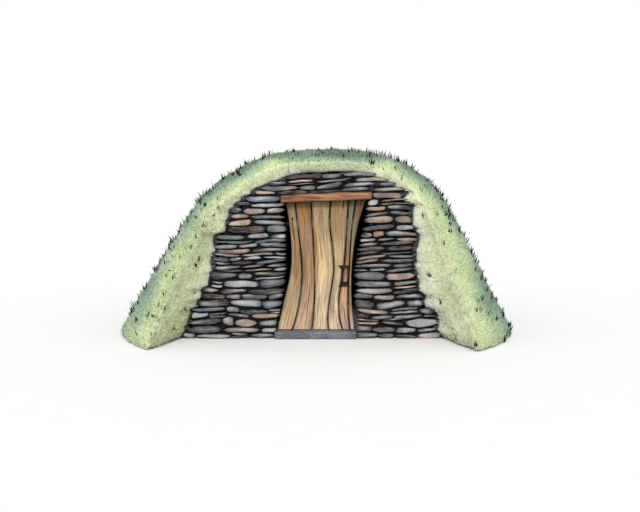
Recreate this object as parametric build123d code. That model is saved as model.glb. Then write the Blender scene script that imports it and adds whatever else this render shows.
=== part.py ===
from build123d import *
from math import cos, hypot, pi, radians, sin
import os

os.makedirs("parts", exist_ok=True)

# Sizes in millimetres. The front face of the stone wall lies in the plane y = 0 while the
# pieces are drawn, x runs to the right and z up. The middle of the footprint moves to the
# origin on export.

# Front wall of stacked slate
WALL_THICK = 600
WALL_LEFT_EDGE = [(-1580, 0), (-1380, 500), (-1200, 950), (-1080, 1380), (-760, 1740), (-300, 1925)]
WALL_RIGHT_EDGE = [(660, 1925), (990, 1740), (1140, 1400), (1180, 950), (1270, 450), (1460, 0)]
WALL_TOP = 1960
WALL_TOP_RUN = (-50, 400)

# Timber lintels over the doorway
LINTEL_LEFT = -418
LINTEL_RIGHT = 659
LINTEL_LEFT_UNDER = 1616
LINTEL_RISE = 41
LINTEL_HIGH = 88
LINTEL_CROWN = 16
LINTEL_CROWN_AT = 0.55
INNER_LINTEL_HIGH = 110
INNER_LINTEL_DEEP = 250
LINTEL_BEARING = 190

# Threshold
THRESHOLD_HIGH = 85
THRESHOLD_NOSE = 45
THRESHOLD_DEEP = 420

# Door leaf: x of its two edges and of the joints between its planks, from foot to head
JAMB_DEEP = 95
LEAF_SETBACK = 15
LEAF_FOOT_GAP = 10
LEAF_LAP = 40
HEAD_GAP = 40
PLANK_THICK = 42
PLANK_GAP = 9
LINE_HEIGHTS = [0, 0.22, 0.47, 0.71, 1]
LEAF_LINES = [
    (-463, -386, -303, -303, -366),
    (-282, -197, -170, -202, -252),
    (-53, -20, -20, -34, -62),
    (148, 160, 214, 178, 186),
    (316, 274, 330, 362, 388),
    (405, 384, 398, 420, 480),
    (463, 428, 429, 476, 614),
]
REVEAL_LEFT = (27, 30, 76, 74, 24)
REVEAL_RIGHT = (17, 40, 24, 64, 12)
LEDGE_THICK = 35
LEDGE_HIGH = 120
LEDGE_HEIGHTS = (320, 1360)
LEDGE_INSET = 22
BRACE_WIDE = 110
BRACE_INSET = 60

# Strap hinges and their pintles
HINGE_X = -440
HINGE_BEHIND_LEDGE = 13
STRAP_THICK = 6
STRAP_HIGH = 40
STRAP_LONG = 640
STRAP_POINT = 75
STRAP_POINT_HIGH = 58
EYE_RADIUS = 15
PIN_RADIUS = 8
PIN_PLAY = 0.4
EYE_SEAT = 0.3
PIN_STANDS_ABOVE = 14
ARM_HIGH = 16
PINTLE_PLATE = (6, 60, 150)
POST_WIDE = 105
POST_DEEP = 140
POST_BEHIND_LEAF = 13
HINGE_TO_POST = 35
SWING_GAP = 21

# Forged pull
PULL_X = 336
PULL_Z = 738
PULL_HIGH = 260
PULL_PLATE_THICK = 6
PULL_PLATE_HIGH = (36, 64)
PULL_WIDE = (158, 148)
PULL_NECK = (106, 100)
PULL_HORN = 3
PULL_BAR = (23, 9)
PULL_BAR_APART = 72
PULL_BAR_BOW = 11
PULL_REACH = 46

# Chamber
CHAMBER_HALF_WIDE = 950
CHAMBER_LONG = 2400
SIDE_WALL_THICK = 450
BACK_WALL_THICK = 400
SPRINGING = 700
VAULT_COURSES = 5
VAULT_TOP_HALF = 560
VAULT_CURVE = 1.4
CAPSTONE_HIGH = 210
CAPSTONE_BEARING = 320
CAPSTONES = 7
CAPSTONE_JOINT = 10
HAUNCH_FOOT = 1150

# Sod mound
MOUND_HALF_WIDE = 2460
COVER_OVER = 300
FLANK_TOP = (1700, 1330)
FLANK_PULL = 610
CREST_PULL = 1080
CROWN_LEAN = 150
FLANK_FACETS = 4
CREST_FACETS = 6
SOD_STEP = 340
SWELL_SHARE = 0.012
SWELL_APART = 545
SWELL_SLANT = 0.45
MOUND_FRONT_INSET = 800
MOUND_BACK_INSET = 600
SOD_SETBACK = 30
FORECOURT_PAST_MOUND = 150
FORECOURT_SLOPE_FOOT = 0.35
FORECOURT_SLOPE_SIDE = 0.56
FORECOURT_SLOPE_UP = 1.45

# What follows from the sizes above
lintel_tilt = LINTEL_RISE / (LINTEL_RIGHT - LINTEL_LEFT)
leaf_front = JAMB_DEEP + LEAF_SETBACK
leaf_rear = leaf_front + PLANK_THICK
ledge_rear = leaf_rear + LEDGE_THICK
hinge_y = ledge_rear + HINGE_BEHIND_LEDGE
leaf_foot = THRESHOLD_HIGH + LEAF_FOOT_GAP
passage_top = LINTEL_LEFT_UNDER + LINTEL_RISE + LEAF_LAP + HEAD_GAP
post_face = HINGE_X - HINGE_TO_POST
passage_left = post_face - POST_WIDE
leaf_reach = hypot(max(LEAF_LINES[-1]) - HINGE_X, hinge_y - leaf_front)
passage_right = HINGE_X + leaf_reach + SWING_GAP
inner_lintel_top = passage_top + INNER_LINTEL_HIGH
chamber_end = WALL_THICK + CHAMBER_LONG
cellar_end = chamber_end + BACK_WALL_THICK
cellar_half = CHAMBER_HALF_WIDE + SIDE_WALL_THICK
capstone_half = VAULT_TOP_HALF + CAPSTONE_BEARING
capstone_top = passage_top + CAPSTONE_HIGH
mound_high = capstone_top + COVER_OVER
mound_back_centre = cellar_end - MOUND_BACK_INSET
forecourt_end = MOUND_FRONT_INSET - MOUND_HALF_WIDE - FORECOURT_PAST_MOUND


def outline(points, near, far):
    """A prism between two depths, with its outline in the upright plane."""
    face = make_face(Polyline(*[(x, near, z) for x, z in points], close=True))
    return extrude(face, far - near, dir=(0, 1, 0))


def block(x_range, y_range, z_range):
    """A square-edged block between low and high values on each axis."""
    low = (x_range[0], y_range[0], z_range[0])
    high = (x_range[1], y_range[1], z_range[1])
    size = [b - a for a, b in zip(low, high)]
    return Pos(*low) * Box(*size, align=(Align.MIN, Align.MIN, Align.MIN))


def lintel_under(x):
    return LINTEL_LEFT_UNDER + (x - LINTEL_LEFT) * lintel_tilt


def wall_face(place):
    """The outline of the wall, from its left foot over the top to its right foot."""
    top = [(x, WALL_TOP) for x in WALL_TOP_RUN]
    points = [place(x, z) for x, z in WALL_LEFT_EDGE + top + WALL_RIGHT_EDGE]
    return make_face(Polyline(*points, close=True))


def wall_prism(near, far):
    return extrude(wall_face(lambda x, z: (x, near, z)), far - near, dir=(0, 1, 0))


def leaf_line(xs, shift=0, foot=leaf_foot):
    """Points up a plank joint, from the foot of the leaf to its head behind the lintel."""
    head = lintel_under(xs[-1]) + LEAF_LAP
    return [(x + shift, foot + (head - foot) * t) for x, t in zip(xs, LINE_HEIGHTS)]


def jamb_line(side):
    """The inner edge of the jamb stones: the edge of the leaf and the reveal beside it."""
    edge = LEAF_LINES[0] if side < 0 else LEAF_LINES[-1]
    reveal = REVEAL_LEFT if side < 0 else REVEAL_RIGHT
    return leaf_line([x + side * gap for x, gap in zip(edge, reveal)])


def cellar_outline():
    right = [
        (cellar_half, 0), (cellar_half, HAUNCH_FOOT), (capstone_half, capstone_top),
    ]
    return right + [(-x, z) for x, z in reversed(right)]


def outer_x(z):
    """Half width of the stonework outside, under the earth, at a height."""
    if z <= HAUNCH_FOOT:
        return cellar_half
    share = (z - HAUNCH_FOOT) / (capstone_top - HAUNCH_FOOT)
    return cellar_half + (capstone_half - cellar_half) * share


# Front wall
def wall_side(side):
    beside = (-MOUND_HALF_WIDE, passage_left) if side < 0 else (passage_right, MOUND_HALF_WIDE)
    keep = block(beside, (0, WALL_THICK), (0, inner_lintel_top))
    solid = wall_prism(0, WALL_THICK) & keep
    return solid - front_lintel() - middle_lintel() - rear_lintel()


def jamb(side):
    line = jamb_line(side)
    back = passage_left if side < 0 else passage_right
    points = [(back, 0), (line[0][0], 0)] + line + [(back, line[-1][1])]
    return outline(points, 0, JAMB_DEEP) - over_doorway()


def over_doorway():
    """Everything in front from the underside of the front lintel to the top of the inner ones."""
    return outline(
        [
            (passage_left, lintel_under(passage_left)),
            (passage_right, lintel_under(passage_right)),
            (passage_right, inner_lintel_top),
            (passage_left, inner_lintel_top),
        ],
        0,
        JAMB_DEEP,
    )


def wall_head():
    above = block(
        (-MOUND_HALF_WIDE, MOUND_HALF_WIDE), (0, WALL_THICK), (inner_lintel_top, mound_high)
    )
    over = (over_doorway() & wall_prism(0, JAMB_DEEP)) - front_lintel()
    return (wall_prism(0, WALL_THICK) & above) + over


# Lintels and threshold
def front_lintel():
    """A hewn beam, straight underneath and crowned on top."""
    crown_x = LINTEL_LEFT + (LINTEL_RIGHT - LINTEL_LEFT) * LINTEL_CROWN_AT
    return outline(
        [
            (LINTEL_LEFT, lintel_under(LINTEL_LEFT)),
            (LINTEL_RIGHT, lintel_under(LINTEL_RIGHT)),
            (LINTEL_RIGHT, lintel_under(LINTEL_RIGHT) + LINTEL_HIGH),
            (crown_x, lintel_under(crown_x) + LINTEL_HIGH + LINTEL_CROWN),
            (LINTEL_LEFT, lintel_under(LINTEL_LEFT) + LINTEL_HIGH),
        ],
        0,
        JAMB_DEEP,
    )


def inner_lintel(near, far):
    return block(
        (passage_left - LINTEL_BEARING, passage_right + LINTEL_BEARING),
        (near, far),
        (passage_top, inner_lintel_top),
    )


def middle_lintel():
    return inner_lintel(JAMB_DEEP, JAMB_DEEP + INNER_LINTEL_DEEP)


def rear_lintel():
    return inner_lintel(JAMB_DEEP + INNER_LINTEL_DEEP, WALL_THICK)


def threshold():
    nose = block(
        (jamb_line(-1)[0][0], jamb_line(1)[0][0]), (-THRESHOLD_NOSE, JAMB_DEEP), (0, THRESHOLD_HIGH)
    )
    slab = block((passage_left, passage_right), (JAMB_DEEP, THRESHOLD_DEEP), (0, THRESHOLD_HIGH))
    return nose + slab


def door_post():
    near = leaf_rear + POST_BEHIND_LEAF
    return block((passage_left, post_face), (near, near + POST_DEEP), (THRESHOLD_HIGH, passage_top))


# Chamber
def side_wall(side):
    xs = sorted((side * CHAMBER_HALF_WIDE, side * cellar_half))
    return block(xs, (WALL_THICK, chamber_end), (0, SPRINGING))


def vault_course(number):
    """One corbelled course on each side, each reaching further in than the one below."""
    high = (passage_top - SPRINGING) / VAULT_COURSES
    low = SPRINGING + high * (number - 1)
    reach = (number / VAULT_COURSES) ** VAULT_CURVE
    inner = CHAMBER_HALF_WIDE - (CHAMBER_HALF_WIDE - VAULT_TOP_HALF) * reach
    top = low + high
    points = [(inner, low), (outer_x(low), low)]
    if low < HAUNCH_FOOT < top:
        points.append((cellar_half, HAUNCH_FOOT))
    points += [(outer_x(top), top), (inner, top)]
    right = outline(points, WALL_THICK, chamber_end)
    return Compound([right, mirror(right, Plane.YZ)])


def capstones():
    """Slabs laid across the vault side by side."""
    under = outer_x(passage_top)
    points = [
        (-under, passage_top), (under, passage_top),
        (capstone_half, capstone_top), (-capstone_half, capstone_top),
    ]
    long = CHAMBER_LONG / CAPSTONES
    slab = outline(points, WALL_THICK, WALL_THICK + long - CAPSTONE_JOINT)
    return Compound([Pos(0, long * number, 0) * slab for number in range(CAPSTONES)])


def back_wall():
    return outline(cellar_outline(), chamber_end, cellar_end)


# Sod mound
def mound_profile():
    """Half of the upright section, foot to crest: a straight flank and a rounded crest."""
    flank_x, flank_z = FLANK_TOP
    run = (flank_x - MOUND_HALF_WIDE, flank_z)
    pull = FLANK_PULL / hypot(*run)
    crest = Bezier(
        (flank_x, flank_z),
        (flank_x + run[0] * pull, flank_z + run[1] * pull),
        (CREST_PULL, mound_high),
        (0, mound_high),
    )
    shares = [step / FLANK_FACETS for step in range(FLANK_FACETS)]
    flank = [(MOUND_HALF_WIDE + run[0] * share, flank_z * share) for share in shares]
    rounded = [crest @ (step / CREST_FACETS) for step in range(CREST_FACETS + 1)]
    return flank + [(point.X, point.Y) for point in rounded]


def swell(x, y, z):
    """Rise and fall of the trodden sod, from -1 to 1."""
    turn = pi / SWELL_APART
    return (sin(turn * (x + SWELL_SLANT * z)) + cos(turn * (y - SWELL_SLANT * z))) / 2


def mound_section(centre, angle):
    """The section that stands at a depth and faces an angle, with its swells."""
    profile = mound_profile()
    way = (cos(radians(angle)), sin(radians(angle)))
    points = []
    for index, (out, up) in enumerate(profile):
        fade = sin(pi * index / (len(profile) - 1))
        scale = 1 + SWELL_SHARE * fade * swell(out * way[0], centre + out * way[1], up)
        lean = CROWN_LEAN * (up / mound_high) ** 2
        points.append((out * way[0] * scale + lean, centre + out * way[1] * scale, up * scale))
    return points


def mound_stations():
    """Depth and angle of each section, once round the mound from the middle of its front."""
    turn = round(pi / 2 * MOUND_HALF_WIDE / SOD_STEP)
    straight = round((mound_back_centre - MOUND_FRONT_INSET) / SOD_STEP)
    quarter = [90 * step / turn for step in range(turn + 1)]
    run = (mound_back_centre - MOUND_FRONT_INSET) / straight
    depths = [MOUND_FRONT_INSET + run * step for step in range(1, straight)]
    right = [(MOUND_FRONT_INSET, angle - 90) for angle in quarter]
    right += [(depth, 0) for depth in depths]
    right += [(mound_back_centre, angle) for angle in quarter]
    left = [(depth, 180 - angle) for depth, angle in reversed(right)]
    return right + left[1:-1]


def mound():
    """The whole mound in flat facets, before the stonework is taken out of it."""
    sections = [mound_section(*station) for station in mound_stations()]
    faces = [make_face(Polyline(*[section[0] for section in sections], close=True))]
    for near, far in zip(sections, sections[1:] + sections[:1]):
        for low in range(len(near) - 1):
            corners = [near[low], far[low], far[low + 1], near[low + 1]]
            faces.append(make_face(Polyline(*corners[:3], close=True)))
            if hypot(*[a - b for a, b in zip(corners[2], corners[3])]) > 1:
                faces.append(make_face(Polyline(corners[0], *corners[2:], close=True)))
    return Solid(Shell(faces))


def forecourt():
    """The space before the wall, which widens outwards between the arms of the mound."""

    long = SOD_SETBACK - forecourt_end

    def flared(x, z):
        share = z / WALL_TOP
        side = 1 if x > WALL_TOP_RUN[0] else -1
        flare = side * long * (FORECOURT_SLOPE_FOOT + FORECOURT_SLOPE_SIDE * share)
        return (x + flare, forecourt_end, z + long * FORECOURT_SLOPE_UP * share)

    near = wall_face(lambda x, z: (x, SOD_SETBACK, z))
    return loft([near, wall_face(flared)], ruled=True)


def mound_front(sod, side):
    """The part of the mound beside and over the front wall, with its arm."""
    beside = sorted((0, side * 2 * MOUND_HALF_WIDE))
    solid = sod & block(beside, (forecourt_end, WALL_THICK), (0, 2 * mound_high))
    solid -= forecourt() + wall_prism(SOD_SETBACK, WALL_THICK)
    return solid - (middle_lintel() + rear_lintel())


def mound_pieces():
    big = 3 * MOUND_HALF_WIDE
    far = mound_back_centre + big
    sod = mound()
    slope = [(cellar_half, HAUNCH_FOOT), (capstone_half, capstone_top)]
    haunch = outline(slope + [(capstone_half, big), (cellar_half, big)], WALL_THICK, cellar_end)
    top = block((-capstone_half, capstone_half), (WALL_THICK, cellar_end), (capstone_top, big))
    return {
        "mound_front_left": mound_front(sod, -1),
        "mound_front_right": mound_front(sod, 1),
        "mound_bank_left": sod & block((-big, -cellar_half), (WALL_THICK, far), (0, big)),
        "mound_bank_right": sod & block((cellar_half, big), (WALL_THICK, far), (0, big)),
        "mound_haunch_left": sod & mirror(haunch, Plane.YZ),
        "mound_haunch_right": sod & haunch,
        "mound_crest": sod & top,
        "mound_back": sod & block((-cellar_half, cellar_half), (cellar_end, far), (0, big)),
    }


# Door
def plank(number):
    left = leaf_line(LEAF_LINES[number - 1], PLANK_GAP / 2 if number > 1 else 0)
    right = leaf_line(LEAF_LINES[number], -PLANK_GAP / 2 if number < len(LEAF_LINES) - 1 else 0)
    left = [(x, leaf_front, z) for x, z in left]
    right = [(x, leaf_front, z) for x, z in right]
    edges = [Spline(*left), Line(left[-1], right[-1]), Spline(*right), Line(right[0], left[0])]
    return extrude(make_face(edges), PLANK_THICK, dir=(0, 1, 0))


def leaf_edge(side, z):
    """x of the edge of the leaf at a height, along straight runs between its points."""
    line = leaf_line(LEAF_LINES[0] if side < 0 else LEAF_LINES[-1])
    for (x0, z0), (x1, z1) in zip(line, line[1:]):
        if z <= z1:
            break
    return x0 + (x1 - x0) * (z - z0) / (z1 - z0)


def ledge_range(z):
    return leaf_edge(-1, z) + LEDGE_INSET, leaf_edge(1, z) - LEDGE_INSET


def ledge(z):
    half = LEDGE_HIGH / 2
    return block(ledge_range(z), (leaf_rear, ledge_rear), (z - half, z + half))


def brace():
    low_z = LEDGE_HEIGHTS[0] + LEDGE_HIGH / 2
    high_z = LEDGE_HEIGHTS[1] - LEDGE_HIGH / 2
    low_x = ledge_range(LEDGE_HEIGHTS[0])[0] + BRACE_INSET
    high_x = ledge_range(LEDGE_HEIGHTS[1])[1] - BRACE_INSET
    wide = BRACE_WIDE * hypot(high_x - low_x, high_z - low_z) / (high_z - low_z)
    points = [(low_x, low_z), (low_x + wide, low_z), (high_x, high_z), (high_x - wide, high_z)]
    return outline(points, leaf_rear, ledge_rear)


def strap(z):
    """A flat bar with a rolled eye at one end and a spear point at the other."""
    half = STRAP_HIGH / 2
    tip = HINGE_X + STRAP_LONG
    barb = tip - STRAP_POINT
    upper = [
        (HINGE_X, half), (barb - STRAP_POINT / 3, half), (barb, STRAP_POINT_HIGH / 2),
    ]
    points = upper + [(tip, 0)] + [(x, -rise) for x, rise in reversed(upper)]
    bar = outline([(x, z + rise) for x, rise in points], ledge_rear, ledge_rear + STRAP_THICK)
    at = Pos(HINGE_X, hinge_y, z)
    eye = at * Cylinder(EYE_RADIUS, STRAP_HIGH)
    bore = at * Cylinder(PIN_RADIUS + PIN_PLAY, 2 * STRAP_HIGH)
    return bar + eye - bore


def pintle(z):
    seat = z - STRAP_HIGH / 2 - EYE_SEAT
    pin_high = STRAP_HIGH + EYE_SEAT + PIN_STANDS_ABOVE + ARM_HIGH
    align = (Align.CENTER, Align.CENTER, Align.MIN)
    at = Pos(HINGE_X, hinge_y, seat - ARM_HIGH)
    thick, wide, high = PINTLE_PLATE
    beside_pin = (hinge_y - PIN_RADIUS, hinge_y + PIN_RADIUS)
    arm = block((post_face, HINGE_X), beside_pin, (seat - ARM_HIGH, seat))
    middle = seat - ARM_HIGH / 2
    plate = block(
        (post_face, post_face + thick),
        (hinge_y - wide / 2, hinge_y + wide / 2),
        (middle - high / 2, middle + high / 2),
    )
    boss = at * Cylinder(EYE_RADIUS, ARM_HIGH, align=align)
    return arm + plate + boss + at * Cylinder(PIN_RADIUS, pin_high, align=align)


def pull():
    face = leaf_front
    top = PULL_Z + PULL_HIGH / 2
    foot = PULL_Z - PULL_HIGH / 2
    solid = None
    ends = ((top, -1, 0), (foot, 1, 1))
    for edge, way, which in ends:
        wide = PULL_WIDE[which] / 2
        neck = PULL_NECK[which] / 2
        waist = neck + (wide - neck) / 4
        high = way * PULL_PLATE_HIGH[which]
        horn = [(wide, edge), (wide - PULL_HORN, edge + high / 8)]
        side = horn + [(waist, edge + high / 2), (neck, edge + high)]
        points = [(PULL_X + x, z) for x, z in side]
        points += [(PULL_X - x, z) for x, z in reversed(side)]
        plate = outline(points, face - PULL_PLATE_THICK, face)
        solid = plate if solid is None else solid + plate
    seat = face - PULL_PLATE_THICK / 2
    rise = PULL_PLATE_HIGH[0] / 2
    for side in (-1, 1):
        x = PULL_X + side * PULL_BAR_APART / 2
        path = ThreePointArc(
            (x, seat, top - rise),
            (x + PULL_BAR_BOW, face - PULL_REACH, PULL_Z),
            (x, seat, foot + PULL_PLATE_HIGH[1] / 2),
        )
        section = Plane(path @ 0, x_dir=(1, 0, 0), z_dir=path % 0) * Rectangle(*PULL_BAR)
        solid += sweep(section, path)
    return solid - block((-MOUND_HALF_WIDE, MOUND_HALF_WIDE), (face, leaf_rear), (0, WALL_TOP))


pieces = {
    "front_wall_left": wall_side(-1),
    "front_wall_right": wall_side(1),
    "jamb_stones_left": jamb(-1),
    "jamb_stones_right": jamb(1),
    "front_wall_head": wall_head(),
    "lintel_front": front_lintel(),
    "lintel_middle": middle_lintel(),
    "lintel_rear": rear_lintel(),
    "threshold_stone": threshold(),
    "door_post": door_post(),
    "side_wall_left": side_wall(-1),
    "side_wall_right": side_wall(1),
    "back_wall": back_wall(),
    "capstones": capstones(),
    "door_ledge_lower": ledge(LEDGE_HEIGHTS[0]),
    "door_ledge_upper": ledge(LEDGE_HEIGHTS[1]),
    "door_brace": brace(),
    "hinge_strap_lower": strap(LEDGE_HEIGHTS[0]),
    "hinge_strap_upper": strap(LEDGE_HEIGHTS[1]),
    "pintle_lower": pintle(LEDGE_HEIGHTS[0]),
    "pintle_upper": pintle(LEDGE_HEIGHTS[1]),
    "door_pull": pull(),
}
for number in range(1, VAULT_COURSES + 1):
    pieces[f"vault_course_{number}"] = vault_course(number)
for number in range(1, len(LEAF_LINES)):
    pieces[f"door_plank_{number}"] = plank(number)
pieces.update(mound_pieces())

front_most = min(piece.bounding_box().min.Y for piece in pieces.values())
back_most = max(piece.bounding_box().max.Y for piece in pieces.values())
to_origin = Pos(0, -(front_most + back_most) / 2, 0)
for name, piece in pieces.items():
    export_step(to_origin * piece, f"parts/{name}.step")
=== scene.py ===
import math
from itertools import product

import bmesh
import bpy
import numpy as np
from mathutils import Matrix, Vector, noise
from mathutils.bvhtree import BVHTree


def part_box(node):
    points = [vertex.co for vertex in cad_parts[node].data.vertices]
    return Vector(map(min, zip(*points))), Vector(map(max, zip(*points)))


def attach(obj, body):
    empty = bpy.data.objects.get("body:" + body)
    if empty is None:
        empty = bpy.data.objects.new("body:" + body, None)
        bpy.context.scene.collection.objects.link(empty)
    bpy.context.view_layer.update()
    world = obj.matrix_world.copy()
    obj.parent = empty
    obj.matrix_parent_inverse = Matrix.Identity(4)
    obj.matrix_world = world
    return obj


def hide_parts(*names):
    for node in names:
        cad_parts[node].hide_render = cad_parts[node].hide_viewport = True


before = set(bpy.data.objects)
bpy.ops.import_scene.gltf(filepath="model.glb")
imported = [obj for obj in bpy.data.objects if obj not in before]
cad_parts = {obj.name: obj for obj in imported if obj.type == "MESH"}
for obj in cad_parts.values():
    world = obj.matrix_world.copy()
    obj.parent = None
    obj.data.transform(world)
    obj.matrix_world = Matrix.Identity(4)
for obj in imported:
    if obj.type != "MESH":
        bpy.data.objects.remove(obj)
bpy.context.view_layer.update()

# The photograph: wall face at 85 px per metre, horizon above the middle
IMAGE_WIDE, IMAGE_HIGH = 640, 512
PX_PER_METRE = 85
CAMERA_AWAY = 11.0
CAMERA_HIGH = 2.0
CAMERA_RIGHT = 0.047
CAMERA_TILT = math.radians(5.25)

STONE_NODES = {
    "left": ["front_wall_left", "jamb_stones_left"],
    "right": ["front_wall_right", "jamb_stones_right"],
    "head": ["front_wall_head"],
}
MOUND_NODES = [
    "mound_front_left", "mound_front_right", "mound_bank_left", "mound_bank_right",
    "mound_haunch_left", "mound_haunch_right", "mound_crest", "mound_back",
]
VAULT_NODES = [f"vault_course_{n}" for n in range(1, 6)]
PLANK_NODES = [f"door_plank_{n}" for n in range(1, 7)]

# Ragged ends of the front wall, measured on the photograph: (height, x) in metres
LEFT_END = [
    (0.05, -1.58), (0.15, -1.56), (0.23, -1.42), (0.33, -1.50), (0.42, -1.40), (0.58, -1.32),
    (0.70, -1.24), (0.82, -1.17), (0.94, -1.20), (1.17, -1.17), (1.24, -1.15), (1.30, -1.06),
    (1.41, -1.01), (1.47, -1.05), (1.53, -0.98), (1.60, -0.87), (1.72, -0.75), (1.80, -0.64),
    (1.87, -0.52), (1.93, -0.30),
]
RIGHT_END = [
    (0.05, 1.46), (0.12, 1.42), (0.20, 1.44), (0.34, 1.42), (0.42, 1.24), (0.52, 1.27),
    (0.60, 1.18), (0.82, 1.16), (1.08, 1.14), (1.17, 1.21), (1.25, 1.18), (1.33, 1.09),
    (1.42, 1.14), (1.56, 1.10), (1.61, 1.15), (1.66, 1.02), (1.74, 1.05), (1.80, 0.93),
    (1.87, 0.82), (1.93, 0.66),
]
# Stones of the front that are warm in colour: (x, height, tone), and how near a stone has to be
WARM_STONES = [
    (-1.12, 0.58, "orange"), (-0.66, 0.84, "tan"), (-1.08, 0.84, "rust"), (-0.66, 0.30, "tan"),
    (-0.70, 0.18, "pink"), (-0.94, 1.36, "tan"), (-0.68, 1.50, "pink"), (-0.90, 1.06, "rust"),
    (-0.45, 1.52, "tan"), (-0.15, 1.90, "tan"), (0.80, 0.37, "tan"), (0.64, 0.62, "pink"),
    (1.00, 0.62, "tan"), (0.72, 1.49, "tan"), (0.86, 1.70, "tan"), (1.08, 1.18, "tan"),
    (0.62, 1.33, "pink"), (0.56, 0.98, "tan"), (0.74, 0.93, "pink"), (1.10, 0.76, "pink"),
    (0.86, 1.20, "rust"), (0.10, 1.78, "rust"), (0.95, 1.62, "tan"), (0.78, 1.40, "tan"),
]
WARM_NEAR = (0.14, 0.04)


def linear(*srgb):
    """Colour values as seen on screen, turned into the linear ones that shaders take."""
    return tuple(c / 12.92 if c <= 0.04045 else ((c + 0.055) / 1.055) ** 2.4 for c in srgb)


def tones(**named):
    """Named colours as seen on screen, all made linear."""
    return {name: linear(*srgb) for name, srgb in named.items()}


def unit(values):
    """Values held between 0 and 1."""
    return np.clip(values, 0, 1)


SLATE_TONES = tones(
    blue=(0.45, 0.53, 0.59), slate=(0.33, 0.39, 0.44), dark=(0.23, 0.26, 0.29),
    pale=(0.82, 0.83, 0.83), grey=(0.57, 0.58, 0.585), tan=(0.79, 0.64, 0.50),
    pink=(0.80, 0.69, 0.62), orange=(0.80, 0.51, 0.34), rust=(0.62, 0.42, 0.31),
)
COOL_MIX = ["blue", "blue", "slate", "slate", "dark", "pale", "pale", "grey", "grey"]
WARM_MIX = ["pink", "tan", "pink"]
WARM_SHARE = 0.18
INSIDE_MIX = ["blue", "slate", "dark", "grey", "grey", "slate", "tan", "rust"]
# What some stones are stained with at one end, and the colour of the painted highlight on a stone
STAIN_WARM = linear(0.70, 0.52, 0.38)
STAIN_COOL = linear(0.46, 0.51, 0.55)
STAINED_SHARE = 0.3
PAINTED_HIGHLIGHT = linear(0.93, 0.93, 0.92)
# How light a stone is against its tone: least, spread, and how rare the light ones are
DARKEST, SPREAD, SKEW = 0.03, 1.25, 1.7
# The palest that a stone gets, and how dark the painted shade on its rim is
PALEST = 0.52
STONE_RIM_SHADE = 0.95

# Courses of the front: top of each stretch (none: the lintel), least and greatest height
FACE_COURSES = [(0.80, 0.060, 0.094), (1.18, 0.038, 0.060), (None, 0.056, 0.086)]
HEAD_COURSES = (0.055, 0.075)
INNER_COURSES = (0.055, 0.085)
VAULT_COURSES = (0.06, 0.08)
# How stones lie in a course: their length, gap, unevenness in depth, and lean with its scatter
FACE_STONE = dict(lengths=(0.13, 0.47), joint=0.022, proud=0.012, tilt=(0.018, 0.04))
INNER_STONE = dict(lengths=(0.18, 0.42), joint=0.014, proud=0.008, tilt=(0.0, 0.02), deep=0.07)
VAULT_STONE = dict(INNER_STONE, deep=0.16)
CAPSTONE_WIDTHS = (0.24, 0.42)
# Least height of a stone, and how far the beds waver against the height of a course
THINNEST = 0.034
BED_WAVER = 0.19
# Some courses higher than this are filled with two thin stones
SPLIT_OVER = 0.066
SPLIT_SHARE = 0.14
# Dark stones behind the joints: half size, how far back, and how far apart over the lintel
HEARTING = np.array([0.09, 0.02, 0.036])
HEARTING_BACK = 0.068
HEARTING_APART = 0.13
CORE_BACK = 0.035
# How far the stones beside the doorway reach past its line
PAST_JAMB_LEFT, PAST_JAMB_RIGHT = 0.011, 0.006
# Hewn wood: how close its waves are along the grain and across it, and how dark the painted shade on
# its rim is
GRAIN_PITCH = (5.0, 26.0)
WOOD_RIM_SHADE = 0.75


# Reading the frame
def low(node):
    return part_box(node)[0]


def high(node):
    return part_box(node)[1]


LINTEL_LEFT, FACE, UNDER = low("lintel_front")
LINTEL_RIGHT = high("lintel_front")[0]
TOP = high("front_wall_head")[2] - 0.012
WALL_BACK = high("front_wall_left")[1]
PASSAGE_LEFT = high("front_wall_left")[0]
PASSAGE_RIGHT = low("front_wall_right")[0]
JAMB_BACK = high("jamb_stones_left")[1]
CHAMBER_END = low("back_wall")[1]


def column(items, key, wide=3, kind=np.float32):
    """One value of every item of a mesh, a row for each."""
    out = np.empty(len(items) * wide, kind)
    items.foreach_get(key, out)
    return out.reshape(-1, wide).astype(float if kind is np.float32 else int)


def node_edges(node):
    """Both ends of every edge of a node."""
    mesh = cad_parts[node].data
    points, pairs = column(mesh.vertices, "co"), column(mesh.edges, "vertices", 2, np.int32)
    return points[pairs[:, 0]], points[pairs[:, 1]]


def crossings(edges, level, along=2, out=0):
    """Where edges cross a level of one axis, on another axis: by default x at a height."""
    a, b = edges
    across = (a[:, along] - level) * (b[:, along] - level) <= 0
    across &= np.abs(a[:, along] - b[:, along]) > 1e-6
    a, b = a[across], b[across]
    t = (level - a[:, along]) / (b[:, along] - a[:, along])
    return a[:, out] + t * (b[:, out] - a[:, out])


def span_at(edges, level, along=2, out=0):
    """Least and greatest of those places."""
    found = crossings(edges, level, along, out)
    return found.min(), found.max()


# Building meshes
def cube_grid(counts):
    """A box from -1 to 1 with that many cells along each axis: its points and its quads."""
    index = {}
    quads = []
    for axis in range(3):
        u, v = (axis + 1) % 3, (axis + 2) % 3
        for end, i, j in product((0, counts[axis]), range(counts[u]), range(counts[v])):
            corners = []
            for di, dj in ((0, 0), (1, 0), (1, 1), (0, 1)):
                key = [0, 0, 0]
                key[axis], key[u], key[v] = end, i + di, j + dj
                corners.append(index.setdefault(tuple(key), len(index)))
            quads.append(corners if end else corners[::-1])
    return 2 * np.array(list(index)) / counts - 1, np.array(quads)


def link(name, data):
    obj = bpy.data.objects.new(name, data)
    bpy.context.scene.collection.objects.link(obj)
    return obj


def colour_mesh(mesh, tints, name="tint"):
    """A colour for each point, under a name that the materials read."""
    layer = mesh.color_attributes.new(name, "FLOAT_COLOR", "POINT")
    rows = np.hstack([tints, np.ones((len(tints), 1))])
    layer.data.foreach_set("color", rows.astype(np.float32).ravel())


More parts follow.
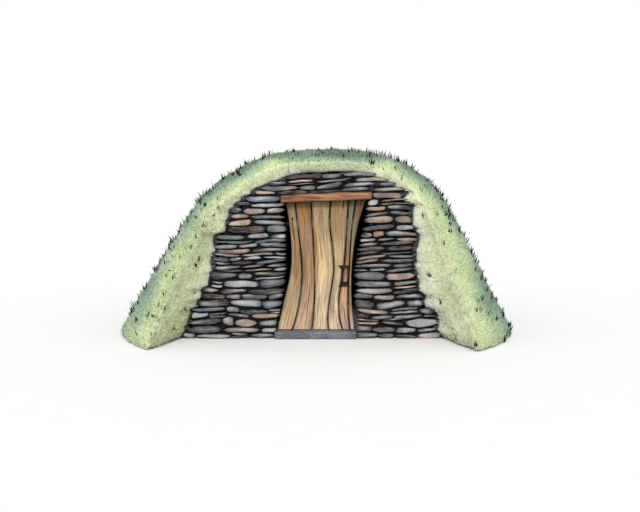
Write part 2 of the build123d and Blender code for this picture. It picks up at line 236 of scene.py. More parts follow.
def mesh_object(name, points, faces, material, tints=None, smooth=True):
    """A new piece from points and faces that all have as many sides."""
    mesh = bpy.data.meshes.new(name)
    faces = np.asarray(faces, np.int32)
    mesh.vertices.add(len(points))
    mesh.vertices.foreach_set("co", np.asarray(points, np.float32).ravel())
    mesh.loops.add(faces.size)
    mesh.loops.foreach_set("vertex_index", faces.ravel())
    mesh.polygons.add(len(faces))
    mesh.polygons.foreach_set("loop_start", np.arange(0, faces.size, faces.shape[1], dtype=np.int32))
    mesh.update(calc_edges=True)
    mesh.polygons.foreach_set("use_smooth", [smooth] * len(faces))
    if tints is not None:
        colour_mesh(mesh, tints)
    mesh.materials.append(material)
    return link(name, mesh)


def heap_object(name, heap, material):
    """One piece of many small solids, each given by its points, its quads and its colour."""
    points, quads, tints = zip(*heap)
    starts = np.cumsum([0, *map(len, points)])
    quads = np.vstack([q + start for q, start in zip(quads, starts)])
    tints = np.vstack([np.broadcast_to(t, p.shape) for t, p in zip(tints, points)])
    return mesh_object(name, np.vstack(points), quads, material, tints)


def move_points(mesh, points):
    mesh.vertices.foreach_set("co", points.astype(np.float32).ravel())
    mesh.update()


def ripple(points, rng, size, waves=4, pitch=25.0):
    """A smooth random offset for each point."""
    out = np.zeros_like(points)
    for _ in range(waves):
        way = rng.normal(size=(3, 3)) * pitch
        out += np.sin(points @ way + rng.uniform(0, 6.28, 3))
    return out * size / waves


def cloud(points, scale, seed):
    """Fractal noise at each point, about -1 to 1."""
    shift = Vector((seed, seed * 1.7, -seed))
    return np.array([noise.fractal(Vector(p) * scale + shift, 0.9, 2.0, 3) for p in points])


def form_of(*nodes):
    """The shapes of some nodes together, ready to be changed."""
    bm = bmesh.new()
    for node in nodes:
        bm.from_mesh(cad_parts[node].data)
    return bm


def made_of(name, bm, material):
    """A new piece from a changed form."""
    mesh = bpy.data.meshes.new(name)
    bm.to_mesh(mesh)
    bm.free()
    mesh.materials.append(material)
    return link(name, mesh)


def remeshed(name, nodes, cell, passes, material):
    """The nodes' shapes as one even skin with soft edges."""
    obj = made_of(name, form_of(*nodes), material)
    skin = obj.modifiers.new("skin", "REMESH")
    skin.mode = "VOXEL"
    skin.voxel_size = cell
    soft = obj.modifiers.new("soft", "SMOOTH")
    soft.factor = 0.5
    soft.iterations = passes
    graph = bpy.context.evaluated_depsgraph_get()
    mesh = bpy.data.meshes.new_from_object(obj.evaluated_get(graph))
    rough = obj.data
    obj.modifiers.clear()
    obj.data = mesh
    bpy.data.meshes.remove(rough)
    mesh.name = name
    mesh.materials.clear()
    mesh.materials.append(material)
    mesh.polygons.foreach_set("use_smooth", [True] * len(mesh.polygons))
    return obj


def depth_inside(node, points):
    """How far points lie inside a node's outline, seen from the front."""
    edges = node_edges(node)
    start, end = low(node)[0], high(node)[0]
    places = np.linspace(start, end, 60)[1:-1]
    foot, head = zip(*[span_at(edges, x, along=0, out=2) for x in places])
    x, _, z = points.T
    sides = [z - np.interp(x, places, foot), np.interp(x, places, head) - z, x - start, end - x]
    return np.min(sides, axis=0)


def worn(name, node, material, cell, wobble, along=0, passes=2, rim=0.0):
    """A hand-hewn form of a node: rounded edges with painted shade along a rim, if one is given, and
    a surface that wavers.
    """
    obj = remeshed(name, [node], cell, passes, material)
    points, normals = column(obj.data.vertices, "co"), column(obj.data.vertices, "normal")
    stretch = np.where(np.arange(3) == along, *GRAIN_PITCH)
    lift = cloud(points * stretch, 1.0, seed=len(name))
    points += normals * (lift * wobble)[:, None]
    points[:, 2] = np.maximum(points[:, 2], low(node)[2] * 0.999)
    move_points(obj.data, points)
    shade = np.ones((len(points), 3))
    if rim:
        # Painted shade, darkest at the outline seen from the front and fading over the rim's width
        shade -= WOOD_RIM_SHADE * unit(1 - depth_inside(node, points) / rim)[:, None]
    colour_mesh(obj.data, shade, "rim_shade")
    return obj


def core_of(node):
    """The node's shape with every face moved in, as the packing behind its stones."""
    bm = form_of(node)
    bmesh.ops.remove_doubles(bm, verts=bm.verts, dist=1e-5)
    bm.normal_update()
    moved = []
    for vert in bm.verts:
        normals = []
        for face in vert.link_faces:
            if face.calc_area() > 1e-9 and all(face.normal.dot(n) < 0.995 for n in normals):
                normals.append(face.normal.copy())
        if not normals:
            moved.append(vert.co.copy())
            continue
        planes = np.array([n[:] for n in normals])
        step = np.linalg.pinv(planes, rcond=0.2) @ np.full(len(normals), -CORE_BACK)
        step *= min(1.0, 2.2 * CORE_BACK / max(np.linalg.norm(step), 1e-9))
        moved.append(vert.co + Vector(step))
    for vert, place in zip(bm.verts, moved):
        vert.co = place
        vert.co.z = max(vert.co.z, 0.0)
    return made_of(f"{node}_core", bm, CORE)


def bevelled(name, node, width, material):
    """A node's shape with its sharp edges eased."""
    bm = form_of(node)
    bmesh.ops.remove_doubles(bm, verts=bm.verts, dist=1e-6)
    bmesh.ops.dissolve_limit(bm, angle_limit=0.02, verts=bm.verts, edges=bm.edges)
    sharp = [e for e in bm.edges if len(e.link_faces) == 2 and e.calc_face_angle() > 0.6]
    bmesh.ops.bevel(bm, geom=sharp, offset=width, segments=2, profile=0.6, affect="EDGES")
    return made_of(name, bm, material)


def settle(obj, body, slot, *nodes):
    """The piece rides on its body and stands for its nodes, which are hidden; slot is not used."""
    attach(obj, body)
    if nodes:
        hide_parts(*nodes)


def settle_stones(name, heap, *nodes):
    """A heap of slates in place of its nodes, and the dark core of each node behind the joints."""
    settle(heap_object(name, heap, SLATE), "cellar", "slate", *nodes)
    for node in nodes:
        settle(core_of(node), "cellar", "slate", node)


# Materials
class Nodes:
    """Short hand for wiring the nodes of a new material, or of an owner that is given."""

    def __init__(self, name, owner=None):
        self.owner = owner or bpy.data.materials.new(name)
        self.owner.use_nodes = True
        self.tree = self.owner.node_tree
        self.shader = self.tree.nodes.get("Principled BSDF")

    def node(self, kind, **values):
        made = self.tree.nodes.new(kind)
        for key, value in values.items():
            if key in made.inputs:
                made.inputs[key].default_value = value
            else:
                setattr(made, key, value)
        return made

    def link(self, source, target):
        self.tree.links.new(source, target)

    def feed(self, socket, value):
        if hasattr(value, "is_linked"):
            self.link(value, socket)
        else:
            socket.default_value = (*value, 1) if isinstance(value, tuple) else value

    def place(self):
        return self.node("ShaderNodeTexCoord").outputs["Object"]

    def attribute(self, name, output="Color"):
        return self.node("ShaderNodeAttribute", attribute_name=name).outputs[output]

    def noise(self, coords, scale, stretch=(1, 1, 1), detail=4.0, rough=0.6, distort=0.0):
        mapping = self.node("ShaderNodeMapping", Scale=stretch)
        self.link(coords, mapping.inputs["Vector"])
        made = self.node("ShaderNodeTexNoise", Scale=scale, Detail=detail, Roughness=rough,
                         Distortion=distort)
        self.link(mapping.outputs[0], made.inputs["Vector"])
        return made.outputs["Fac"]

    def ramp(self, source, *stops):
        made = self.node("ShaderNodeValToRGB")
        line = made.color_ramp.elements
        while len(line) < len(stops):
            line.new(0.5)
        for element, (place, colour) in zip(line, stops):
            element.position = place
            element.color = (*colour, 1) if isinstance(colour, tuple) else (colour,) * 3 + (1,)
        self.link(source, made.inputs[0])
        return made.outputs[0]

    def mix(self, factor, a, b, blend="MIX"):
        made = self.node("ShaderNodeMix", data_type="RGBA", blend_type=blend)
        for socket, value in ((0, factor), (6, a), (7, b)):
            self.feed(made.inputs[socket], value)
        return made.outputs[2]

    def times(self, colour, *shades):
        for shade in shades:
            colour = self.mix(1.0, colour, shade, "MULTIPLY")
        return colour

    def math(self, kind, a, b=0.0, clamp=False):
        made = self.node("ShaderNodeMath", operation=kind, use_clamp=clamp)
        self.feed(made.inputs[0], a)
        self.feed(made.inputs[1], b)
        return made.outputs[0]

    def plus(self, a, b, share):
        return self.math("ADD", a, self.math("MULTIPLY", b, share))

    def direct(self):
        """1 for a ray that shows a thing itself, in a mirror or in glass, and 0 for spread light."""
        rays = self.node("ShaderNodeLightPath").outputs
        seen = self.math("ADD", rays["Is Camera Ray"], rays["Is Glossy Ray"], clamp=True)
        return self.math("ADD", seen, rays["Is Transmission Ray"], clamp=True)

    def bump(self, height, distance, strength=1.0):
        made = self.node("ShaderNodeBump", Strength=strength, Distance=distance)
        self.link(height, made.inputs["Height"])
        self.link(made.outputs[0], self.shader.inputs["Normal"])

    def finish(self, colour, roughness=0.8, specular=0.3, metallic=0.0):
        self.link(colour, self.shader.inputs["Base Color"])
        self.feed(self.shader.inputs["Roughness"], roughness)
        self.shader.inputs["Specular IOR Level"].default_value = specular
        self.shader.inputs["Metallic"].default_value = metallic
        return self.owner


def slate_material():
    """Split slate: each stone's own colour, with thin layers, some of them pale, and dark flecks."""
    n = Nodes("split_slate")
    coords = n.place()
    layers = n.noise(coords, 9.0, stretch=(1.2, 1.2, 9), detail=5.0, rough=0.65)
    patch = n.noise(coords, 7.0)
    fleck = n.noise(coords, 60.0, stretch=(0.6, 0.6, 2), detail=3.0)
    pale_share = n.ramp(layers, (0.42, 0.0), (0.72, 0.32))
    shade = n.ramp(patch, (0.36, (0.62, 0.62, 0.66)), (0.60, (1.1, 1.09, 1.07)))
    speck = n.ramp(fleck, (0.30, (0.55, 0.55, 0.57)), (0.45, 1.0))
    colour = n.mix(pale_share, n.attribute("tint"), linear(0.80, 0.80, 0.83))
    n.bump(n.plus(layers, fleck, 0.35), 0.012, 0.8)
    return n.finish(n.times(colour, shade, speck), roughness=0.72, specular=0.35)


def core_material():
    """The dark packing of earth and chips behind the face stones."""
    n = Nodes("wall_core")
    grain = n.noise(n.place(), 30.0, detail=5.0)
    colour = n.ramp(grain, (0.3, linear(0.06, 0.055, 0.055)), (0.8, linear(0.17, 0.155, 0.145)))
    n.bump(grain, 0.01)
    return n.finish(colour, roughness=0.95, specular=0.1)


def sod_material():
    """Short turf: the painted shades of green, with blades and soft tufts."""
    n = Nodes("short_turf")
    coords = n.place()
    blades = n.noise(coords, 55.0, stretch=(1, 1, 0.5), detail=6.0, rough=0.7)
    tufts = n.noise(coords, 9.0)
    soft = n.ramp(tufts, (0.35, (0.93, 0.95, 0.93)), (0.65, (1.1, 1.09, 1.08)))
    fine = n.ramp(blades, (0.3, (0.88, 0.90, 0.87)), (0.62, (1.1, 1.08, 1.06)))
    n.bump(n.plus(blades, tufts, 1.5), 0.03, 0.7)
    return n.finish(n.times(n.attribute("tint"), soft, fine), roughness=0.95, specular=0.08)


def blade_material():
    """Blades of grass, each of its own green, with faint streaks."""
    n = Nodes("grass_blades")
    streak = n.noise(n.place(), 120.0, detail=2.0)
    shade = n.ramp(streak, (0.3, (0.8, 0.82, 0.78)), (0.7, (1.15, 1.12, 1.1)))
    return n.finish(n.times(n.attribute("tint"), shade), specular=0.1)


def timber_material(name, axis, dark, tone, pale):
    """Weathered timber with its grain along an axis of the frame."""
    n = Nodes(name)
    coords = n.place()
    stretch = tuple(1.0 if i == axis else 14.0 for i in range(3))
    fine = tuple(2.0 if i == axis else 60.0 for i in range(3))
    grain = n.noise(coords, 2.0, stretch=stretch, detail=6.0, distort=0.6)
    fibre = n.noise(coords, 2.0, stretch=fine)
    colour = n.ramp(grain, (0.34, linear(*dark)), (0.48, linear(*tone)), (0.64, linear(*pale)))
    shade = n.ramp(fibre, (0.32, (0.62, 0.60, 0.58)), (0.55, (1.05, 1.04, 1.02)))
    n.bump(n.plus(grain, fibre, 0.5), 0.006, 0.8)
    rough = n.ramp(fibre, (0.3, 0.9), (0.7, 0.68))
    # The colour layer multiplied in last holds painted shade along a rim
    return n.finish(n.times(colour, shade, n.attribute("rim_shade")), roughness=rough, specular=0.25)


def cracks(n, grain, streak):
    """1 inside the drying cracks of the boards, which taper to their ends and follow the streaks."""
    parts = n.node("ShaderNodeSeparateXYZ")
    n.link(grain, parts.inputs[0])
    place = n.plus(parts.outputs[0], n.math("SUBTRACT", streak, 0.5), 0.012)
    split = 0.0
    for across, bottom, top, wide in CRACKS:
        side = n.math("ABSOLUTE", n.math("SUBTRACT", place, across))
        away = n.math("ABSOLUTE", n.math("SUBTRACT", parts.outputs[2], (bottom + top) / 2))
        run = n.math("DIVIDE", away, (top - bottom) / 2)
        taper = n.math("MULTIPLY", n.math("SUBTRACT", 1.0, n.math("POWER", run, 3.0)), wide)
        mask = n.math("MULTIPLY", n.math("SUBTRACT", taper, side), 900.0, clamp=True)
        split = n.math("MAXIMUM", split, mask)
    return split


def plank_material():
    """Old boards: streaks that follow each board's bend, a knot, and drying cracks."""
    n = Nodes("old_boards")
    grain = n.attribute("grain", "Vector")
    streak = n.noise(grain, 1.6, stretch=(22, 22, 1), detail=6.0, rough=0.65, distort=0.5)
    fibre = n.noise(grain, 2.4, stretch=(90, 90, 2.2))
    stain = n.ramp(n.noise(grain, 1.1, stretch=(9, 9, 1.3), detail=3.0), (0.48, 0.0), (0.66, 0.55))
    warm = n.ramp(n.noise(grain, 1.3, stretch=(12, 12, 0.9), detail=3.0), (0.54, 0.0), (0.72, 0.5))
    colour = n.mix(stain, n.attribute("tint"), linear(0.50, 0.52, 0.47))
    colour = n.mix(warm, colour, linear(0.76, 0.50, 0.33))
    shade = n.ramp(streak, (0.36, (0.52, 0.48, 0.44)), (0.50, (1.0, 0.99, 0.97)),
                   (0.64, (1.32, 1.31, 1.29)))
    line = n.ramp(fibre, (0.36, (0.45, 0.42, 0.40)), (0.47, 1.0))
    split = cracks(n, grain, streak)
    colour = n.mix(split, n.times(colour, shade, line), linear(0.13, 0.09, 0.07))
    n.bump(n.math("SUBTRACT", n.plus(streak, fibre, 0.6), split), 0.004, 0.8)
    return n.finish(colour, roughness=0.78, specular=0.25)


def iron_material():
    """Hand-forged iron: near black, hammered, with a little rust."""
    n = Nodes("forged_iron")
    coords = n.place()
    rust = n.noise(coords, 25.0, detail=5.0)
    colour = n.ramp(rust, (0.35, linear(0.10, 0.10, 0.11)), (0.62, linear(0.16, 0.155, 0.155)),
                    (0.78, linear(0.30, 0.19, 0.14)))
    n.bump(n.noise(coords, 70.0, detail=2.0), 0.004, 0.7)
    return n.finish(colour, n.ramp(rust, (0.3, 0.5), (0.7, 0.8)), specular=0.4, metallic=0.55)


WOOD_TONES = tones(
    straw=(0.84, 0.70, 0.49), cream=(0.95, 0.83, 0.65), sand=(0.86, 0.76, 0.58),
    tan=(0.72, 0.60, 0.45), brown=(0.68, 0.52, 0.36), orange=(0.76, 0.53, 0.34),
    olive=(0.60, 0.56, 0.44), pale=(0.97, 0.88, 0.75), pink=(0.88, 0.75, 0.64),
    rust=(0.66, 0.48, 0.37),
)
# Boards of the door, left to right: tone at head, middle and foot, and the grey of the painted shade
# at their edges
BOARD_TONES = [
    ("tan", "brown", "cream"),
    ("orange", "brown", "pink"),
    ("straw", "sand", "pale"),
    ("tan", "sand", "pale"),
    ("olive", "orange", "pink"),
    ("rust", "tan", "pink"),
]
BOARD_EDGE_SHADE = np.array(linear(0.47, 0.48, 0.41))
# How far apart the boards lie in the space that their grain is made in
BOARD_APART = 10.0
# Height of the lintel's painted shadow, how dark the painted shade over the head of the door is, and
# the painted dark rim of a board
UNDER_LINTEL = 0.08
HEAD_SHADE = 0.30
BOARD_RIM = 0.013
# How strong the grey painted shade on the left side of some boards is, up to two thirds of their
# height
LEFT_SIDE_SHADE = {1: 0.55, 3: 0.45, 4: 0.30}
# Cracks, and a short wide one for a knot: across from a board's middle, foot, head, half width
CRACKS = [
    (BOARD_APART * 0 - 0.004, 1.12, 1.43, 0.006),
    (BOARD_APART * 0 - 0.002, 1.40, 1.44, 0.011),
    (BOARD_APART * 1 + 0.020, 0.15, 0.70, 0.004),
    (BOARD_APART * 3 + 0.045, 1.53, 1.66, 0.006),
    (BOARD_APART * 2 - 0.030, 0.90, 1.25, 0.003),
    (BOARD_APART * 4 + 0.010, 0.12, 0.38, 0.004),
]
# A board's mesh: rounding of its edges, how far it keeps inside its solid, rows and cells
BOARD_ROUND = 0.009
BOARD_SHY = 0.0008
BOARD_ROWS = 56
BOARD_CELLS = 16

SLATE = slate_material()
CORE = core_material()
SOD = sod_material()
BLADES = blade_material()
BOARDS = plank_material()
IRON = iron_material()
LINTEL = timber_material(
    "lintel_timber_grain", 0, (0.30, 0.19, 0.13), (0.60, 0.41, 0.29), (0.76, 0.57, 0.43)
)
INNER_TIMBER = timber_material(
    "inner_timber_grain", 0, (0.34, 0.25, 0.18), (0.50, 0.38, 0.28), (0.62, 0.50, 0.38)
)
POST_TIMBER = timber_material(
    "post_timber_grain", 2, (0.36, 0.26, 0.18), (0.52, 0.40, 0.29), (0.64, 0.51, 0.38)
)
LEDGE_TIMBER = timber_material(
    "ledge_timber_grain", 0, (0.46, 0.33, 0.22), (0.66, 0.50, 0.34), (0.76, 0.62, 0.45)
)


# Slates
FINE = cube_grid((10, 2, 6))
PLAIN = cube_grid((5, 2, 2))
# How square a slab is from its face to its back
SLAB_SQUARE = 7.0


def slate(rng, half, grid, lens=(1.6, 3.2), tilt=(0.0, 0.02), wedge=0.0):
    """One slab, lens-shaped with one end blunter than the other, in (along, depth, up)."""
    points, quads = grid
    blunt = rng.uniform(*lens, 2)
    p = np.sign(points) * (1 - (1 - np.abs(points)) ** 1.4)
    x, y, z = p.T
    power = np.where(x < 0, *blunt)
    flat = (np.abs(x) ** power + np.abs(z) ** power) ** (1 / power)
    p /= ((flat ** SLAB_SQUARE + np.abs(y) ** SLAB_SQUARE) ** (1 / SLAB_SQUARE))[:, None]
    slope, waist, phase = rng.uniform(-0.2, 0.2) + wedge, rng.uniform(0, 0.16), rng.uniform(0, 6.28)
    z *= 1 + slope * x - waist * np.cos(3.0 * x + phase)
    z += rng.uniform(-0.22, 0.22) * (1 - x ** 2) * (1 - np.abs(z))
    x += rng.uniform(-0.12, 0.12) * z * half[2] / half[0] * 3
    p *= half
    p += ripple(p, rng, 0.006)
    turn = rng.normal(*tilt)
    x[:], z[:] = x * math.cos(turn) - z * math.sin(turn), x * math.sin(turn) + z * math.cos(turn)
    y += rng.normal(0, 0.015) * x + rng.normal(0, 0.05) * z
    return p, quads


def stone_tints(rng, grid, tone):
    """A stone's colour at each point: painted shade on its rim, a painted highlight off its middle,
    some stained at an end.
    """
    x, _, z = grid[0].T
    stain = np.array(STAIN_WARM if tone[2] > tone[0] else STAIN_COOL) * rng.uniform(0.6, 1.0)
    strength = rng.uniform(0.5, 0.8) * (rng.random() < STAINED_SHARE)
    share = strength * unit(rng.choice([-1.5, 1.5]) * (x - rng.uniform(-0.2, 0.2)))
    tone = tone * (1 - share[:, None]) + stain * share[:, None]
    # Painted shade: the stone darkens towards its rim
    rim = unit((np.maximum(np.abs(x), np.abs(z)) - 0.5) / 0.5) ** 1.7
    # Painted highlight: a pale patch off the middle, set towards the top
    middle = rng.uniform(-0.5, 0.5), rng.uniform(0, 0.4)
    pale_share = np.exp(-((x - middle[0]) / 0.45) ** 2 - ((z - middle[1]) / 0.4) ** 2)
    pale_share = pale_share[:, None] * rng.uniform(-0.1, 0.85)
    tints = tone * (1 - pale_share) + np.array(PAINTED_HIGHLIGHT) * pale_share
    tints = tints * np.minimum(1, PALEST / np.maximum(tints.max(axis=1), PALEST))[:, None]
    return tints * (1 - STONE_RIM_SHADE * rim[:, None])


def course_heights(rng, start, end, least, most):
    """Course boundaries between two heights, of uneven steps."""
    count = max(1, round((end - start) / ((least + most) / 2)))
    steps = rng.uniform(least, most, count)
    return start + np.concatenate([[0], np.cumsum(steps)]) * (end - start) / steps.sum()


def stone_lengths(rng, start, end, least, most):
    """Joints along a course."""
    joints = [start]
    while end - joints[-1] > most:
        left = end - joints[-1]
        step = left / 2 if left < 2 * least else rng.uniform(least, min(most, left - least))
        joints.append(joints[-1] + step)
    return joints + [end]


def wavering(rng, reach):
    """How far the bed between two courses lies off its level, along the wall."""
    places = np.arange(-1.8, 1.8, 0.15)
    drift = rng.uniform(-reach, reach, len(places))
    return lambda x: np.interp(x, places, drift)


def level_bed(x):
    return 0.0


def lay_course(heap, rng, place, span, heights, lengths, deep, tone, joint, proud, tilt,
               grid=PLAIN, beds=(level_bed, level_bed)):
    """One course of slates; place turns (along, depth, up) into a point of the frame."""
    joints = stone_lengths(rng, *span, *lengths)
    for a, b in zip(joints, joints[1:]):
        z0, z1 = (height + bed((a + b) / 2) for height, bed in zip(heights, beds))
        if z1 - z0 < THINNEST:
            z0, z1 = (z0 + z1 - THINNEST) / 2, (z0 + z1 + THINNEST) / 2
        rises = [bed(b - 0.02) - bed(a + 0.02) for bed in beds]
        turn = (tilt[0] + sum(rises) / 2 / (b - a), tilt[1])
        wedge = (rises[1] - rises[0]) / (2 * (z1 - z0))
        rows = [(z0, z1)]
        if z1 - z0 > SPLIT_OVER and rng.random() < SPLIT_SHARE:
            cut = z0 + (z1 - z0) * rng.uniform(0.38, 0.62)
            rows = [(z0, cut), (cut, z1)]
        for bottom, top in rows:
            half = np.array([b - a, deep, top - bottom]) / 2
            half += [rng.uniform(0.002, 0.016) - joint * 0.35, 0,
                     rng.uniform(-0.004, 0.003) - joint * 0.27]
            centre = np.array([a + b, deep, top + bottom]) / 2
            centre += [0, rng.uniform(-proud, proud), rng.normal(0, 0.003)]
            points, quads = slate(rng, half, grid, tilt=turn, wedge=wedge)
            tint = np.array(SLATE_TONES[tone(centre[0], centre[2])])
            tint *= DARKEST + SPREAD * rng.random() ** SKEW
            if grid is FINE:
                tint = stone_tints(rng, grid, tint)
            heap.append((place(points + centre), quads, tint))


def face_tones(rng):
    """Picks a tone for each stone of the front: the warm ones where they are, the rest by chance."""
    left = list(WARM_STONES)

    def tone(x, z):
        for stone in left:
            if abs(x - stone[0]) < WARM_NEAR[0] and abs(z - stone[1]) < WARM_NEAR[1]:
                left.remove(stone)
                return stone[2]
        mix = WARM_MIX if rng.random() < WARM_SHARE else COOL_MIX
        return mix[rng.integers(len(mix))]

    return tone


def hearting(heap, rng, x, z):
    """A dark stone set back behind the joints of the front, against the earth."""
    points, quads = slate(rng, HEARTING, PLAIN)
    points = on_face(points + [x, HEARTING_BACK, z])
    heap.append((points, quads, np.array(SLATE_TONES["dark"]) * 0.5))


def lintel_form():
    """The front lintel's height at its ends, how far its top is crowned, and its rise."""
    x, _, z = column(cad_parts["lintel_front"].data.vertices, "co").T
    ends = [z[np.abs(x - side) < 1e-4] for side in (LINTEL_LEFT, LINTEL_RIGHT)]
    beam = ends[0].max() - ends[0].min()
    rise = ends[1].min() - ends[0].min()
    top = z.argmax()
    share = (x[top] - LINTEL_LEFT) / (LINTEL_RIGHT - LINTEL_LEFT)
    return beam, z[top] - ends[0].max() - rise * share, rise


BEAM, CROWN, RISE = lintel_form()
OVER = UNDER + BEAM


def on_face(points):
    """Puts points on the front, whose courses rise to the right with the lintel, and waver."""
    p = points.copy()
    x, y, z = p.T
    across = unit((x - LINTEL_LEFT) / (LINTEL_RIGHT - LINTEL_LEFT))
    z += RISE * across * unit((z - 0.7) / 0.9) * unit((TOP + 0.12 - z) / 0.2)
    waver = 0.012 * np.sin(4.1 * x + 3.0 * z) + 0.007 * np.sin(9.3 * x - 5.0 * z)
    waver *= unit(z / 0.3)
    over_beam = unit(1 - np.abs(across - 0.55) / 0.5) * (z > UNDER + BEAM / 2)
    z += CROWN * over_beam * unit((TOP - z) / 0.15)
    near_beam = np.exp(-(((z - UNDER) / 0.12) ** 2)) * (np.abs(x) < 0.75)
    z += waver * (1 - near_beam)
    np.maximum(z, 0.002, out=z)
    y += FACE
    return p


def doorway_at(height):
    """Where the stones end on both sides of the doorway, the left ones a little behind the leaf."""
    level = min(height, high("jamb_stones_left")[2] - 0.02)
    left = span_at(node_edges("jamb_stones_left"), level)[1]
    right = span_at(node_edges("jamb_stones_right"), level)[0]
    level = max(level, low("door_plank_1")[2] + 0.02)
    return left + 0.25 * (span_at(node_edges("door_plank_1"), level)[0] - left), right


def course_levels(rng):
    """Heights between the courses of the front, from the ground to the top, past the lintel."""
    levels = [0.0]
    for upper, least, most in FACE_COURSES:
        levels += list(course_heights(rng, levels[-1], upper or UNDER, least, most))[1:]
    return levels + [OVER] + list(course_heights(rng, OVER + 0.002, TOP, *HEAD_COURSES))[1:]


def front_wall():
    """The face of the wall: uneven courses with ragged ends, round the doorway and lintel."""
    rng = np.random.default_rng(11)
    packing = np.random.default_rng(12)
    heaps = {"left": [], "right": [], "head": []}
    ends = []
    levels = course_levels(rng)
    steps = np.diff(levels)
    reaches = BED_WAVER * np.minimum(np.append(steps, 1), np.insert(steps, 0, 1))
    drifts = [level_bed if z in (0.0, UNDER, OVER, TOP) else wavering(rng, reach)
              for z, reach in zip(levels, reaches)]
    job = dict(FACE_STONE, place=on_face, deep=JAMB_BACK - FACE - 0.006, tone=face_tones(rng),
               grid=FINE)
    for z0, z1, *beds in zip(levels, levels[1:], drifts, drifts[1:]):
        job.update(heights=(z0, z1), beds=beds)
        middle = (z0 + z1) / 2
        left = np.interp(middle, *zip(*LEFT_END)) + rng.uniform(-0.04, 0.02)
        right = np.interp(middle, *zip(*RIGHT_END)) + rng.uniform(-0.02, 0.04)
        ends += [(z0 + 0.012, left, right), (z1 - 0.012, left, right)]
        for key, x in (("left", left - 0.04), ("right", right + 0.04)):
            hearting(heaps[key if middle < UNDER else "head"], rng, x, middle)
        if middle > OVER:
            for x in np.arange(left + 0.12, right - 0.06, HEARTING_APART):
                hearting(heaps["head"], packing, x, middle)
            lay_course(heaps["head"], rng, span=(left, right), **job)
            continue
        door = (LINTEL_LEFT, LINTEL_RIGHT) if middle > UNDER else doorway_at(middle)
        lay_course(heaps["left"], rng, span=(left, door[0] + PAST_JAMB_LEFT), **job)
        lay_course(heaps["right"], rng, span=(door[1] - PAST_JAMB_RIGHT, right), **job)
    return heaps, np.array(ends)


def inside_tones(rng):
    return lambda x, z: INSIDE_MIX[rng.integers(len(INSIDE_MIX))]


def facing(corner, along, into):
    """Turns (along, depth, up) into a point, from a corner and two level directions."""
    corner, along, into = (np.array(v, float) for v in (corner, along, into))

    def place(p):
        up = np.maximum(p[:, 2:3], 0.002)
        return corner + p[:, :1] * along + p[:, 1:2] * into + up * np.array([0, 0, 1.0])

    return place


def lining(heap, rng, corner, along, into, span, head):
    """Inner stones over one upright plane, from the floor; span gives its ends at a height."""
    place = facing(corner, along, into)
    levels = course_heights(rng, 0.0, head, *INNER_COURSES)
    for z0, z1 in zip(levels, levels[1:]):
        ends = span((z0 + z1) / 2)
        if ends[1] - ends[0] > 0.06:
            lay_course(heap, rng, place, ends, (z0, z1), tone=inside_tones(rng), **INNER_STONE)


def chamber_width(z):
    """How far the chamber's wall stands from its middle at a height."""
    for node in ["side_wall_left"] + VAULT_NODES:
        if z < high(node)[2]:
            return np.abs(crossings(node_edges(node), max(z, 0.01))).min()
    return np.abs(crossings(node_edges(VAULT_NODES[-1]), high(VAULT_NODES[-1])[2] - 0.01)).min()


def passage_walls(heaps):
    """Both sides of the passage, and the wall's back as seen from the chamber."""
    rng = np.random.default_rng(23)
    roof = low("lintel_rear")[2]
    for key, side, edge in (("left", -1, PASSAGE_LEFT), ("right", 1, PASSAGE_RIGHT)):
        lining(heaps[key], rng, (edge, JAMB_BACK, 0), (0, 1, 0), (side, 0, 0),
               lambda z: (0.0, WALL_BACK - JAMB_BACK), roof)
        lining(heaps[key], rng, (edge, WALL_BACK, 0), (side, 0, 0), (0, -1, 0),
               lambda z: (0.0, chamber_width(z) + 0.03 - abs(edge)), roof + 0.10)


def show_front_wall():
    """The face, the passage and the wall's back; gives where the courses of the face end."""
    heaps, ends = front_wall()
    passage_walls(heaps)
    for key, heap in heaps.items():
        settle_stones(f"face_stones_{key}", heap, *STONE_NODES[key])
    return ends


def show_chamber():
    """Side walls, the five corbelled courses, back wall and capstones."""
    rng = np.random.default_rng(31)
    length = CHAMBER_END - WALL_BACK
    for side, name in ((-1, "left"), (1, "right")):
        heap = []
        node = f"side_wall_{name}"
        lining(heap, rng, (side * chamber_width(0.3), WALL_BACK, 0), (0, 1, 0), (side, 0, 0),
               lambda z: (0.0, length), high(node)[2])
        settle_stones(f"side_stones_{name}", heap, node)
    for node in VAULT_NODES:
        heap = []
        levels = course_heights(rng, low(node)[2], high(node)[2], *VAULT_COURSES)
        for side in (-1, 1):
            for z0, z1 in zip(levels, levels[1:]):
                corner = (side * chamber_width((z0 + z1) / 2), WALL_BACK, 0)
                lay_course(heap, rng, facing(corner, (0, 1, 0), (side, 0, 0)), (0.0, length),
                           (z0, z1), tone=inside_tones(rng), **VAULT_STONE)
        settle_stones(f"{node}_stones", heap, node)
    heap = []
    lining(heap, rng, (0, CHAMBER_END, 0), (1, 0, 0), (0, 1, 0),
           lambda z: (-chamber_width(z) - 0.02, chamber_width(z) + 0.02), low("capstones")[2])
    settle_stones("back_stones", heap, "back_wall")
    settle(capstones(rng), "cellar", "slate", "capstones")


def capstones(rng):
    """Broad slabs side by side over the chamber."""
    heap = []
    (_, _, under), (wide, end, over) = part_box("capstones")
    edges = stone_lengths(rng, WALL_BACK, end, *CAPSTONE_WIDTHS)
    for a, b in zip(edges, edges[1:]):
        half = np.array([wide - 0.02, (over - under) / 2 - 0.01, (b - a) / 2 - 0.008])
        points, quads = slate(rng, half, FINE, lens=(5, 8), tilt=(0.0, 0.005))
        placed = points[:, [0, 2, 1]] + [0, (a + b) / 2, (under + over) / 2]
        tint = np.array(SLATE_TONES[INSIDE_MIX[rng.integers(4)]]) * rng.uniform(0.9, 1.1)
        heap.append((placed, quads, tint))
    return heap_object("capstone_slabs", heap, SLATE)


course_ends = show_front_wall()
show_chamber()


